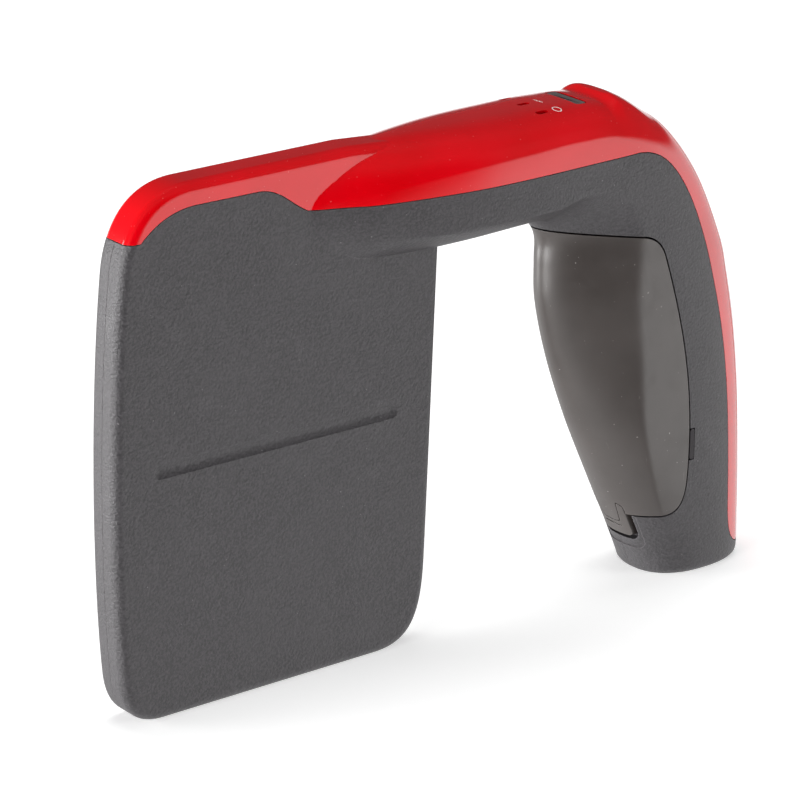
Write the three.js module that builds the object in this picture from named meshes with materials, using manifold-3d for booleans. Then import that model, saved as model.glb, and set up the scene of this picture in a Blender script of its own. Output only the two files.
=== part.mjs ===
// Hand-held radio tag reader: a flat antenna paddle joined by an arm to a pistol grip, with a
// pull-out battery pack in the front of the grip. Millimetres, +X to the paddle's front edge,
// +Y to the reader's left side, +Z up. The origin is under the middle of the whole reader, on
// the surface that it stands on.
import * as THREE from 'three';
import { mergeVertices } from 'three/addons/utils/BufferGeometryUtils.js';
import Module from 'manifold-3d';

const wasm = await Module();
wasm.setup();

// ---------- driving dimensions ----------
const LENGTH = 235;                  // paddle's front edge to the back of the grip
const TOP = 159.2;                   // top edge of the paddle
const FRONT = 120;                   // the paddle's front edge, from the drawing's own datum
const REAR = FRONT - LENGTH;
const PADDLE_THICK = 13;
const PADDLE_EDGE = 3;               // radius round the paddle's edges
const WALL = 2.2;                    // moulded wall of the housings
const SPINE_WALL = 4.6;              // cover wall behind the grip, thick enough for the inlay
const GAP = 0.3;                     // clearance between pieces that meet
const FLOOR_WALL = 2.6;
const SLIVER = 0.04;                 // cuts closer together than this count as one

const GROOVE = { z: 76.5, from: 18.9, to: 107.4, radius: 3.8, depth: 1 };

const KEY = { x: -47, length: 15.2, width: 4, top: 158.2, flange: 1.4 };
const KEY_FLANGE = { bottom: 151.5, top: 152.4 };
const KEY_SEAL = { bottom: 152.7, top: 153.2 };
const LAMP = { x: -31, pitch: 8.7, length: 3.8, width: 1.3, top: 157.7 };
const RIDGE = { x: -60, z: 154, radius: 5.2, half: 15, droop: 2 };

const BOARD = { bottom: 147.2, thick: 1.6, from: -58, to: 34, half: 11 };
const BOARD_TOP = BOARD.bottom + BOARD.thick;
const BOARD_SCREWS = [[-53, -7.5], [-53, 7.5], [26, 0]];
const ANTENNA = { thick: 1.6, top: 138, copper: 0.3 };

const LATCH = { half: 6.6, bottom: 13.6, top: 25.4, corner: 1.6, thick: 2.4, travel: 1.2, margin: 1.5 };
const PACK_WALL = 1.8;
const PACK_FLOOR = 29;
const CELLS = {
  rear: { x: -72.5, z: 65, width: 24, thick: 10, height: 58, lean: 5.5 },
  front: { x: -56.5, z: 82, width: 15, thick: 10, height: 40, lean: 16 },
};
const CONTACTS = { x: -91.6, z: 34.5, half: 9, pitch: 4.4, pins: 4 };

const SCREW = { radius: 1.25, head: 2.5, headHeight: 1.6, boss: 3.4 };
// Screws go in from the right side: x, z, and how far out the right wall's outside is.
const SCREW_PLACES = [
  { x: 27, z: 14, out: 6.5 },
  { x: 102, z: 14, out: 6.5 },
  { x: 106, z: 136, out: 6.5 },
  { x: 12, z: 130, out: 14.6 },
  { x: -58, z: 131, out: 17.2 },
  { x: -89, z: 84, out: 16.6 },
  { x: -98, z: 15, out: 15.4 },
];

// ---------- looks of the mouldings ----------
const FINISH = {
  housing: { color: 0x4f4b4e, roughness: 0.75, metalness: 0 },
  cover: { color: 0xb4000c, roughness: 0.18, metalness: 0 },
  pack: { color: 0x6a6461, roughness: 0.6, metalness: 0 },
  dark: { color: 0x2b282b, roughness: 0.4, metalness: 0 },
  lens: { color: 0xd9d9d4, roughness: 0.3, metalness: 0 },
  circuit: { color: 0x1e5a35, roughness: 0.5, metalness: 0 },
  chip: { color: 0x1b1b1d, roughness: 0.55, metalness: 0 },
  copper: { color: 0xb87333, roughness: 0.35, metalness: 1 },
  steel: { color: 0xb9bbbd, roughness: 0.35, metalness: 1 },
  gold: { color: 0xd4af52, roughness: 0.3, metalness: 1 },
  cell: { color: 0x3d6ea5, roughness: 0.45, metalness: 0 },
  cable: { color: 0x2c2c2e, roughness: 0.5, metalness: 0 },
  foam: { color: 0x3a3a3c, roughness: 0.95, metalness: 0 },
  rubber: { color: 0x262626, roughness: 0.85, metalness: 0 },
};

// ---------- solids ----------
// A closed three.js geometry as a solid that can be joined and cut.
function solid(geometry) {
  const bare = geometry.clone();
  bare.deleteAttribute('normal');
  bare.deleteAttribute('uv');
  const merged = mergeVertices(bare, 1e-4);
  const vertProperties = new Float32Array(merged.attributes.position.array);
  const triVerts = new Uint32Array(merged.index.array);
  const made = new wasm.Mesh({ numProp: 3, vertProperties, triVerts });
  return new wasm.Manifold(made);
}

// A cut can leave slivers on a piece or loose beside it: they go, and only the piece is kept.
function largest(body) {
  const clean = body.simplify(SLIVER);
  return clean.decompose().reduce((best, one) => (one.volume() > best.volume() ? one : best));
}

function geometryOf(body) {
  const made = body.getMesh();
  const geometry = new THREE.BufferGeometry();
  geometry.setAttribute('position', new THREE.BufferAttribute(new Float32Array(made.vertProperties), 3));
  geometry.setIndex(new THREE.BufferAttribute(new Uint32Array(made.triVerts), 1));
  geometry.computeVertexNormals();
  return geometry;
}

// An outline drawn out from one level to another, grown by an offset, with rounded rims.
function drawn(outline, from, to, { grow = 0, round = 0.01, rounding = 1, curve = 2 } = {}) {
  const size = round > 0.01 ? round : 0;
  const geometry = new THREE.ExtrudeGeometry(outline, {
    depth: to - from - 2 * round,
    bevelEnabled: true,
    bevelThickness: round,
    bevelSize: size,
    bevelOffset: grow - size,
    bevelSegments: rounding,
    curveSegments: curve,
  });
  return geometry.translate(0, 0, from + round);
}

// Outlines in x and z become plates across the reader, from one y to another.
const SIDE_ON = new THREE.Matrix4().set(1, 0, 0, 0, 0, 0, -1, 0, 0, 1, 0, 0, 0, 0, 0, 1);
// Outlines in y and z become bars along x.
const HEAD_ON = new THREE.Matrix4().set(0, 0, 1, 0, 1, 0, 0, 0, 0, 1, 0, 0, 0, 0, 0, 1);

const across = (outline, from, to, options) => drawn(outline, -to, -from, options).applyMatrix4(SIDE_ON);
const along = (outline, from, to, options) => drawn(outline, from, to, options).applyMatrix4(HEAD_ON);
const upright = (outline, from, to, options) => drawn(outline, from, to, options);

// A rectangle with rounded corners, given by its centre and its size.
function rectangle(cx, cy, width, height, radius = 0) {
  const x = width / 2 - radius;
  const y = height / 2 - radius;
  const shape = new THREE.Shape();
  if (radius === 0) {
    shape.moveTo(cx - x, cy - y);
    shape.lineTo(cx + x, cy - y);
    shape.lineTo(cx + x, cy + y);
    shape.lineTo(cx - x, cy + y);
    return shape;
  }
  shape.absarc(cx + x, cy + y, radius, 0, Math.PI / 2);
  shape.absarc(cx - x, cy + y, radius, Math.PI / 2, Math.PI);
  shape.absarc(cx - x, cy - y, radius, Math.PI, 1.5 * Math.PI);
  shape.absarc(cx + x, cy - y, radius, 1.5 * Math.PI, 2 * Math.PI);
  return shape;
}

function block(low, high) {
  const size = high.map((value, i) => value - low[i]);
  const centre = high.map((value, i) => (value + low[i]) / 2);
  return new THREE.BoxGeometry(...size).translate(...centre);
}

// A turned piece on an axis along y, from radius and distance pairs.
function turnedAcross(profile, x, z, sides = 12) {
  const points = profile.map(([radius, level]) => new THREE.Vector2(radius, level));
  return new THREE.LatheGeometry(points, sides).translate(x, 0, z);
}

function rodAcross(radius, from, to, x, z, sides = 14) {
  return turnedAcross([[0, from], [radius, from], [radius, to], [0, to]], x, z, sides);
}

// ---------- the arm and the grip: one shape lofted through stations ----------
// Each station is a slice from the inner side (under the arm, front of the grip) to the outer
// side (top of the arm, back of the grip), as x and z, with its half width, how far across the
// slice it is widest, and how square its inner and outer halves are. A soft crease parts the flat
// side from the nose: its distance from the inner side, and how marked it is from 0 to 1.
const STATIONS = [
  { inner: [52, 134], outer: [52, 148.5], half: 6.2, widest: 0.6, square: [2, 1.8], crease: [6, 0] },
  { inner: [48.5, 125.5], outer: [48.5, 153.5], half: 7.5, widest: 0.62, square: [2, 1.7], crease: [7, 0] },
  { inner: [40, 123.2], outer: [40, 157], half: 9.5, widest: 0.58, square: [2.1, 1.7], crease: [7.5, 0] },
  { inner: [28, 122.8], outer: [28, 158.2], half: 13.2, widest: 0.56, square: [2.2, 2], crease: [8, 0.3] },
  { inner: [12, 122.6], outer: [12, 158.8], half: 16.4, widest: 0.55, square: [2.4, 2.5], crease: [8, 0.7] },
  { inner: [-4, 122.7], outer: [-4, 159], half: 18.4, widest: 0.55, square: [2.6, 2.9], crease: [8, 0.9] },
  { inner: [-20, 123.1], outer: [-22, 159], half: 18.8, widest: 0.55, square: [2.7, 3.1], crease: [8, 1] },
  { inner: [-29.8, 123.2], outer: [-40.1, 158.8], half: 18.5, widest: 0.55, square: [2.7, 3.2], crease: [8.5, 1] },
  { inner: [-33.8, 121.6], outer: [-58.2, 157], half: 18.1, widest: 0.55, square: [2.7, 3.1], crease: [14, 1] },
  { inner: [-36.2, 118.6], outer: [-77.2, 148.4], half: 17.8, widest: 0.55, square: [2.7, 2.8], crease: [21, 1] },
  { inner: [-37.2, 114.6], outer: [-93, 130.6], half: 17.5, widest: 0.52, square: [2.6, 2.6], crease: [26, 1] },
  { inner: [-37, 108], outer: [-104.2, 108], half: 17.3, widest: 0.5, square: [2.6, 2.55], crease: [26.5, 1] },
  { inner: [-37.6, 95], outer: [-108.2, 95], half: 17.1, widest: 0.5, square: [2.6, 2.5], crease: [25.4, 1] },
  { inner: [-42.4, 76], outer: [-112.1, 76], half: 16.9, widest: 0.5, square: [2.6, 2.45], crease: [22.5, 1] },
  { inner: [-50.6, 55], outer: [-114.3, 55], half: 16.6, widest: 0.5, square: [2.6, 2.45], crease: [16, 0.9] },
  { inner: [-61.2, 33], outer: [REAR, 33], half: 16.3, widest: 0.5, square: [2.5, 2.45], crease: [11, 0.6] },
  { inner: [-70.4, 14], outer: [REAR, 14], half: 16, widest: 0.5, square: [2.4, 2.45], crease: [9, 0.2] },
  { inner: [-75, 4], outer: [REAR + 0.2, 4], half: 15.8, widest: 0.5, square: [2.4, 2.45], crease: [9, 0] },
  { inner: [-76, 1.2], outer: [REAR + 0.8, 1.2], half: 15.4, widest: 0.5, square: [2.4, 2.45], crease: [9, 0] },
  { inner: [-77, 0], outer: [REAR + 2.2, 0], half: 14.2, widest: 0.5, square: [2.4, 2.45], crease: [9, 0] },
];
const CREASE_BEND = 0.55;            // how round the nose is between the creases

const through = (pick) => new THREE.CatmullRomCurve3(
  STATIONS.map((station) => new THREE.Vector3(...pick(station))), false, 'catmullrom', 0.5);
const innerLine = through((s) => [s.inner[0], s.half, s.inner[1]]);
const outerLine = through((s) => [s.outer[0], s.widest, s.outer[1]]);
const squareness = through((s) => [s.square[0], s.square[1], 0]);
const creaseLine = through((s) => [s.crease[0], s.crease[1], 0]);

// A point of the loft: t runs from the bow to the foot, angle runs round the slice, and the
// skin can lie inside the outer surface by one distance at the sides and another at the back.
function loftPoint(t, angle, reach, inset) {
  const inner = innerLine.getPoint(t);
  const outer = outerLine.getPoint(t);
  const power = squareness.getPoint(t);
  const crease = creaseLine.getPoint(t);
  const chord = new THREE.Vector2(outer.x - inner.x, outer.z - inner.z);
  const depth = chord.length();
  chord.normalize();
  const back = THREE.MathUtils.lerp(inset.side, inset.back, THREE.MathUtils.smoothstep(t, 0.5, 0.64));
  const low = inset.side;
  const high = depth - back;
  const middle = depth * outer.y;
  const c = Math.cos(angle);
  const s = Math.sin(angle);
  const bend = 2 / (c > 0 ? power.y : power.x);
  const along = middle + (c > 0 ? high - middle : middle - low) * Math.sign(c) * Math.abs(c) ** bend * reach;
  let share = Math.abs(s) ** bend;
  if (c < 0 && share > 1e-3) {
    const nose = THREE.MathUtils.clamp((along - low) / (crease.x - low), 0, 1) ** CREASE_BEND;
    share = THREE.MathUtils.lerp(share, nose, crease.y);
  }
  const aside = (inner.y - inset.side) * Math.sign(s) * share * reach;
  return new THREE.Vector3(inner.x + chord.x * along, aside, inner.z + chord.y * along);
}

function handle({ side = 0, back = side, sides = 24, slices = 32 } = {}) {
  const geometry = new THREE.CylinderGeometry(1, 1, 1, sides, slices);
  const place = geometry.attributes.position;
  for (let i = 0; i < place.count; i += 1) {
    const t = 0.5 - place.getY(i);
    const reach = Math.hypot(place.getX(i), place.getZ(i));
    const angle = Math.atan2(-place.getX(i), place.getZ(i));
    const point = loftPoint(t, angle, reach > 0.5 ? 1 : 0, { side, back });
    place.setXYZ(i, point.x, point.y, point.z);
  }
  return geometry;
}

// ---------- the paddle ----------
const paddleOutline = new THREE.Shape();
paddleOutline.moveTo(28, 0);
paddleOutline.lineTo(104, 0);
paddleOutline.bezierCurveTo(113.5, 0, 117.6, 5.5, 118.4, 15);
paddleOutline.bezierCurveTo(FRONT + 0.9, 45, FRONT - 0.1, 98, 115.6, 134);
paddleOutline.bezierCurveTo(114, 149, 106, TOP, 91, TOP);
paddleOutline.lineTo(36, TOP);
paddleOutline.lineTo(4, TOP - 2.4);
paddleOutline.lineTo(4.2, 126);
paddleOutline.bezierCurveTo(6, 90, 7.6, 55, 9.2, 26);
paddleOutline.bezierCurveTo(10.2, 9, 14, 0, 28, 0);

const paddle = (inset = 0) => across(paddleOutline, inset - PADDLE_THICK / 2, PADDLE_THICK / 2 - inset, {
  grow: -inset,
  round: inset > 0 ? 1 : PADDLE_EDGE,
  rounding: inset > 0 ? 1 : 2,
  curve: 8,
});

// ---------- where the mouldings part ----------
// Everything above this line belongs to the cover: over the paddle's top edge, along the arm
// and down the back of the grip.
const coverOutline = new THREE.Shape();
coverOutline.moveTo(FRONT + 5, 144.8);
coverOutline.lineTo(108.8, 144.8);
coverOutline.bezierCurveTo(104, 149.5, 98, 152.6, 90, 152.6);
coverOutline.lineTo(69, 152.4);
coverOutline.bezierCurveTo(61.5, 152, 58.5, 147, 52, 143.6);
coverOutline.lineTo(34, 142.7);
coverOutline.lineTo(-62, 142.7);
coverOutline.bezierCurveTo(-82, 141, -90, 112, -96.6, 90);
coverOutline.bezierCurveTo(-102.5, 68, -103.6, 50, -103.6, 20);
coverOutline.bezierCurveTo(-103.6, 9, -106, 5.4, -111, 5);
coverOutline.lineTo(REAR - 10, 5);
coverOutline.lineTo(REAR - 10, TOP + 10);
coverOutline.lineTo(FRONT + 5, TOP + 10);

// The battery pack fills the front of the grip, with a rounded corner top and bottom.
const packOutline = new THREE.Shape();
packOutline.moveTo(-30, 120.4);
packOutline.lineTo(-64, 115.4);
packOutline.quadraticCurveTo(-70.3, 114.2, -72.6, 108.5);
packOutline.bezierCurveTo(-82, 82, -85.4, 62, -85, 42);
packOutline.bezierCurveTo(-84.8, 28, -84, 22, -76, 22);
packOutline.lineTo(-30, 22);

// The latch is a tab in the front of the grip, seen from in front.
const tabOutline = (margin) => rectangle(0, (LATCH.top + LATCH.bottom) / 2, 2 * (LATCH.half + margin),
  LATCH.top - LATCH.bottom + 2 * margin, LATCH.corner + margin);

// The inlay is a strip with round ends down the middle of the back.
const INLAY = { half: 10.5, bottom: 8, top: 152, thick: 1.6 };
const inlayOutline = () => rectangle(
  0, (INLAY.bottom + INLAY.top) / 2, 2 * INLAY.half, INLAY.top - INLAY.bottom, INLAY.half - 0.05);

const SIDE = 40;
const cut = {
  cover: (grow = 0) => solid(across(coverOutline, -SIDE, SIDE, { grow, curve: 7 })),
  pack: (grow = 0) => solid(across(packOutline, -SIDE, SIDE, { grow, curve: 6 })),
  tab: (margin) => solid(along(tabOutline(margin), -85, -50)),
  inlay: (grow = 0) => solid(along(inlayOutline(), REAR - 10, -64, { grow, curve: 6 })),
  left: solid(block([-FRONT - 20, GAP / 2, -5], [FRONT + 20, SIDE, TOP + 20])),
  right: solid(block([-FRONT - 20, -SIDE, -5], [FRONT + 20, -GAP / 2, TOP + 20])),
};

// ---------- whole outside and inside ----------
const handleBody = solid(handle());
// The thumb ridge lies across the top and droops a little at its ends.
function ridgeGeometry() {
  const geometry = new THREE.CapsuleGeometry(RIDGE.radius, 2 * (RIDGE.half - RIDGE.radius), 4, 12, 4);
  const place = geometry.attributes.position;
  for (let i = 0; i < place.count; i += 1) {
    place.setZ(i, place.getZ(i) - RIDGE.droop * (place.getY(i) / RIDGE.half) ** 2);
  }
  return geometry.translate(RIDGE.x, 0, RIDGE.z);
}
const grooves = [-1, 1].map((way) => solid(
  new THREE.CapsuleGeometry(GROOVE.radius, GROOVE.to - GROOVE.from - 2 * GROOVE.radius, 3, 12)
    .rotateZ(Math.PI / 2)
    .translate((GROOVE.from + GROOVE.to) / 2,
      way * (PADDLE_THICK / 2 + GROOVE.radius - GROOVE.depth), GROOVE.z)));
const outside = handleBody.add(solid(paddle())).subtract(grooves[0]).subtract(grooves[1]);

const handleRoom = solid(handle({ side: WALL, back: SPINE_WALL, sides: 20, slices: 22 }));
const aboveFloor = solid(block([-FRONT, -SIDE, FLOOR_WALL], [FRONT, SIDE, TOP]));
const latchBacking = solid(block([-82, -SIDE, -1], [-50, SIDE, PACK_FLOOR]));
const room = handleRoom.add(solid(paddle(WALL))).intersect(aboveFloor).subtract(latchBacking);
// The housings wrap the pack with a wall of their own.
const housingRoom = room.subtract(cut.pack(GAP + WALL));

// The outer layer of the arm and the grip, as deep as stated.
const below = (depth) => solid(handle({ side: depth, sides: 20, slices: 22 }));
const skin = (depth) => handleBody.subtract(below(depth));

// The drawing's datum lies ahead of the middle, so the whole reader is moved to centre it.
const group = new THREE.Group();
group.position.x = -(FRONT + REAR) / 2;

function piece(name, shape, finish) {
  const geometry = shape.isBufferGeometry ? shape : geometryOf(largest(shape));
  const mesh = new THREE.Mesh(geometry, new THREE.MeshStandardMaterial(FINISH[finish]));
  mesh.name = name;
  group.add(mesh);
  return mesh;
}

// ---------- cover, inlay, key and lamps ----------
const keyOutline = (margin = 0) => rectangle(
  KEY.x, 0, KEY.width + 2 * margin, KEY.length + 2 * margin, KEY.width / 2 + margin - 0.05);
const lampOutline = (y, margin = 0) => rectangle(LAMP.x, y, LAMP.length + 2 * margin,
  LAMP.width + 2 * margin, LAMP.width / 2 + margin - 0.05);
const LAMP_ROWS = [-1, 0, 1].map((step) => step * LAMP.pitch);

// Short pillars hang from the cover's ceiling, and the main board is screwed up to them.
const boardPillars = BOARD_SCREWS.map(([x, y]) => solid(
  new THREE.CylinderGeometry(2.2, 2.2, 8, 12).rotateX(Math.PI / 2).translate(x, y, BOARD_TOP + GAP + 4)));
const boardBores = BOARD_SCREWS.map(([x, y]) => solid(
  new THREE.CylinderGeometry(1.1, 1.1, 6, 12).rotateX(Math.PI / 2).translate(x, y, BOARD_TOP + 1.2)));

let cover = outside.add(solid(ridgeGeometry())).subtract(room).intersect(cut.cover());
for (const pillar of boardPillars) {
  cover = cover.add(pillar.intersect(outside));
}
for (const bore of boardBores) {
  cover = cover.subtract(bore);
}
cover = cover.subtract(cut.inlay(GAP).subtract(below(INLAY.thick + GAP)));
cover = cover.subtract(solid(upright(keyOutline(GAP), 150, TOP + 5)));
for (const y of LAMP_ROWS) {
  cover = cover.subtract(solid(upright(lampOutline(y, GAP), 150, TOP + 5)));
}
piece('top_cover', cover, 'cover');
piece('spine_inlay', skin(INLAY.thick).intersect(cut.inlay()).intersect(cut.cover(-1)), 'cover');

const keyFlange = rectangle(KEY.x, 0, KEY.width + 2 * KEY.flange, KEY.length + 2 * KEY.flange,
  KEY.width / 2 + KEY.flange - 0.05);
const keyCap = solid(upright(keyOutline(), KEY_FLANGE.bottom, KEY.top, { round: 0.4 }));
piece('scan_key', keyCap.add(solid(upright(keyFlange, KEY_FLANGE.bottom, KEY_FLANGE.top))), 'dark');

const sealOutline = rectangle(KEY.x, 0, 6.4, 18, 3);
const sealHole = keyOutline(GAP);
piece('key_seal', solid(upright(sealOutline, KEY_SEAL.bottom, KEY_SEAL.top))
  .subtract(solid(upright(sealHole, KEY_SEAL.bottom - 1, KEY_SEAL.top + 1))), 'rubber');

const switchBody = solid(upright(rectangle(KEY.x, 0, 6, 6, 0.5), BOARD_TOP + GAP, 149.9));
const plunger = solid(new THREE.CylinderGeometry(1.6, 1.6, 0.8, 16).rotateX(Math.PI / 2)
  .translate(KEY.x, 0, 149.8));
piece('key_switch', switchBody.add(plunger), 'chip');

LAMP_ROWS.forEach((y, i) => {
  piece(`lamp_lens_${i + 1}`, upright(lampOutline(y), BOARD_TOP + 2, LAMP.top), 'lens');
  piece(`lamp_${i + 1}`, block([LAMP.x - 1, y - 0.6, BOARD_TOP + GAP], [LAMP.x + 1, y + 0.6, BOARD_TOP + 1.5]), 'lens');
});

// ---------- housing halves ----------
// Pillars for the screws: the right one is bored through, the left one holds the thread.
function pillars(side) {
  const radius = SCREW.boss;
  return SCREW_PLACES.map(({ x, z, out }) => {
    const [from, to] = side > 0 ? [GAP / 2, out - 1] : [1 - out, -GAP / 2];
    return solid(rodAcross(radius, from, to, x, z));
  });
}

function screwHoles(side) {
  return SCREW_PLACES.map(({ x, z, out }) => {
    const bore = SCREW.radius + GAP;
    if (side > 0) {
      return solid(rodAcross(bore, -1, out - 2.2, x, z, 12));
    }
    const seat = -out + 2.2;
    return solid(rodAcross(bore, seat - 1, 1, x, z, 12))
      .add(solid(rodAcross(SCREW.head + GAP, -out - 6, seat, x, z, 14)));
  });
}

const tabDepth = LATCH.thick + LATCH.travel + GAP;
const tabRecess = cut.tab(LATCH.margin).subtract(below(tabDepth));
const GUIDE = { from: -87.2, to: -85.6, bottom: 39, top: 49, inside: 12.6 };
const contactWindow = solid(block([-92, -9.3, 30.7], [-82, 9.3, 38.3]));

function housing(side) {
  const half = side > 0 ? cut.left : cut.right;
  let shell = outside.subtract(housingRoom);
  for (const pillar of pillars(side)) {
    shell = shell.add(pillar.intersect(outside));
  }
  shell = shell.intersect(half).subtract(cut.cover(GAP)).subtract(cut.pack(GAP));
  shell = shell.subtract(tabRecess).subtract(contactWindow);
  shell = shell.subtract(solid(block([GUIDE.from - GAP, -SIDE, GUIDE.bottom - GAP],
    [GUIDE.to + 2, -GUIDE.inside + GAP, GUIDE.top + GAP])));
  shell = shell.subtract(solid(block([GUIDE.from - GAP, GUIDE.inside - GAP, GUIDE.bottom - GAP],
    [GUIDE.to + 2, SIDE, GUIDE.top + GAP])));
  for (const hole of screwHoles(side)) {
    shell = shell.subtract(hole);
  }
  return shell;
}
piece('housing_left', housing(1), 'housing');
piece('housing_right', housing(-1), 'housing');

SCREW_PLACES.forEach(({ x, z, out }, i) => {
  const seat = -out + 2.2 - GAP;
  const tip = Math.min(out - 2.6, 6);
  const screw = turnedAcross([[0, seat - SCREW.headHeight], [SCREW.head, seat - SCREW.headHeight],
    [SCREW.head, seat], [SCREW.radius, seat], [SCREW.radius, tip - 0.6], [SCREW.radius - 0.5, tip],
    [0, tip]], x, z);
  piece(`case_screw_${i + 1}`, screw, 'steel');
});


// ---------- battery pack ----------
const guideBlocks = [-1, 1].map((way) => solid(block(
  [GUIDE.from, Math.min(way * GUIDE.inside, way * SIDE), GUIDE.bottom],
  [GUIDE.to, Math.max(way * GUIDE.inside, way * SIDE), GUIDE.top])));
const packSolid = handleBody.intersect(cut.pack());
const packRoom = below(PACK_WALL)
  .intersect(solid(across(packOutline, -SIDE, SIDE, { grow: -PACK_WALL, curve: 6 })))
  .intersect(solid(block([-FRONT, -SIDE, PACK_FLOOR], [0, SIDE, TOP])));
// The back of the pack is a plate of its own, let in between the side walls.
const PLATE = { bottom: 24, top: 108, thick: 2.2 };
const aheadOf = (distance) => solid(across(packOutline, -SIDE, SIDE, { curve: 6 }).translate(distance, 0, 0));
const plateSpan = (margin) => solid(block([-95, -SIDE, PLATE.bottom - margin], [-62, SIDE, PLATE.top + margin]));
const betweenWalls = (margin) => below(PACK_WALL + margin);
const plate = packSolid.intersect(plateSpan(0)).intersect(betweenWalls(GAP)).subtract(aheadOf(PLATE.thick));
const plateRoom = plateSpan(GAP).intersect(betweenWalls(0)).subtract(aheadOf(PLATE.thick + GAP));
const tabPocket = cut.tab(GAP).subtract(below(tabDepth));
piece('battery_case', packSolid.subtract(packRoom).subtract(plateRoom).subtract(tabPocket), 'pack');
piece('battery_back_plate', plate, 'pack');

const tabSlot = rectangle(0, LATCH.bottom + 7, 8, 4, 1);
piece('battery_latch', skin(LATCH.thick).intersect(cut.tab(0))
  .subtract(solid(along(tabSlot, -85, -50)).subtract(below(0.9))), 'pack');

// Lugs on the pack show in the seam on both sides, in notches of the housings.
for (const [name, lug] of [['guide_lug_left', guideBlocks[1]], ['guide_lug_right', guideBlocks[0]]]) {
  piece(name, lug.intersect(handleBody), 'dark');
}

for (const [name, cell] of Object.entries(CELLS)) {
  const outline = rectangle(0, 0, cell.thick, cell.width, 1.5);
  piece(`cell_${name}`, upright(outline, -cell.height / 2, cell.height / 2)
    .rotateY(THREE.MathUtils.degToRad(cell.lean))
    .translate(cell.x, 0, cell.z), 'cell');
}
piece('pack_board', block([-72.4, -9, 95.8], [-58.8, 9, 97]), 'circuit');

// ---------- contacts between the pack and the reader ----------
const pinRows = Array.from({ length: CONTACTS.pins }, (_, i) => (i - (CONTACTS.pins - 1) / 2) * CONTACTS.pitch);
const pinRod = (radius, from, to, y) => new THREE.CylinderGeometry(radius, radius, to - from, 10)
  .rotateZ(Math.PI / 2).translate((from + to) / 2, y, CONTACTS.z);
let contactBlock = solid(block([CONTACTS.x, -CONTACTS.half, CONTACTS.z - 3.5], [-85.9, CONTACTS.half, CONTACTS.z + 3.5]));
for (const y of pinRows) {
  contactBlock = contactBlock.subtract(solid(pinRod(1.3, CONTACTS.x - 1, -84, y)));
}
piece('contact_block', contactBlock, 'dark');
pinRows.forEach((y, i) => piece(`contact_pin_${i + 1}`, pinRod(1, CONTACTS.x + 0.2, -85.2, y), 'gold'));
piece('contact_board', block([CONTACTS.x - 1.9, -11, 27], [CONTACTS.x - 0.3, 11, 68]), 'circuit');

// A cable lies along its real route, as one round section drawn along a curve.
function cable(points, radius, steps) {
  const route = new THREE.CatmullRomCurve3(points.map((point) => new THREE.Vector3(...point)));
  const section = new THREE.Shape();
  section.absarc(0, 0, radius, 0, 2 * Math.PI);
  return new THREE.ExtrudeGeometry(section, { steps, extrudePath: route, curveSegments: 4, bevelEnabled: false });
}
piece('contact_cable', cable([[-94.7, 0, 69], [-96.4, 0, 78], [-97, 0, 90], [-95, 0, 108], [-88, 0, 124],
  [-77, 0, 136], [-66, 0, 142.5], [-58.6, 0, 146]], 1, 24), 'cable');

// ---------- main board ----------
const boardOutline = new THREE.Shape();
boardOutline.moveTo(BOARD.from, -BOARD.half);
boardOutline.lineTo(16, -BOARD.half);
boardOutline.lineTo(BOARD.to, -5);
boardOutline.lineTo(BOARD.to, 5);
boardOutline.lineTo(16, BOARD.half);
boardOutline.lineTo(BOARD.from, BOARD.half);
let mainBoard = solid(upright(boardOutline, BOARD.bottom, BOARD_TOP));
for (const bore of boardBores) {
  mainBoard = mainBoard.subtract(bore);
}
piece('main_board', mainBoard, 'circuit');
BOARD_SCREWS.forEach(([x, y], i) => {
  const under = BOARD.bottom - GAP;
  const profile = [[0, under - 1.2], [1.8, under - 1.2], [1.8, under], [0.8, under], [0.8, BOARD_TOP + 3.4],
    [0, BOARD_TOP + 3.8]];
  const points = profile.map(([radius, level]) => new THREE.Vector2(radius, level));
  piece(`board_screw_${i + 1}`, new THREE.LatheGeometry(points, 10).rotateX(Math.PI / 2).translate(x, y, 0), 'steel');
});

const can = { from: -20, to: 8, half: 9, sheet: 0.5, top: BOARD_TOP + 3.8 };
piece('radio_shield', solid(block([can.from, -can.half, BOARD_TOP + GAP], [can.to, can.half, can.top]))
  .subtract(solid(block([can.from + can.sheet, can.sheet - can.half, BOARD_TOP],
    [can.to - can.sheet, can.half - can.sheet, can.top - can.sheet]))), 'steel');
piece('radio_chip', block([-12, -4, BOARD_TOP + GAP], [-4, 4, BOARD_TOP + 1.6]), 'chip');
piece('wireless_module', block([11, -5, BOARD_TOP + GAP], [21, 5, BOARD_TOP + 2.1]), 'steel');
piece('processor', block([-20, -5, BOARD.bottom - 1.6], [-10, 5, BOARD.bottom - GAP]), 'chip');
piece('beeper', new THREE.CylinderGeometry(5.5, 5.5, 3.6, 20).rotateX(Math.PI / 2)
  .translate(-36, 0, BOARD.bottom - GAP - 1.8), 'dark');
piece('coax_socket', block([20.5, -1.6, BOARD.bottom - 1.8], [23.7, 1.6, BOARD.bottom - GAP]), 'gold');

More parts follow.
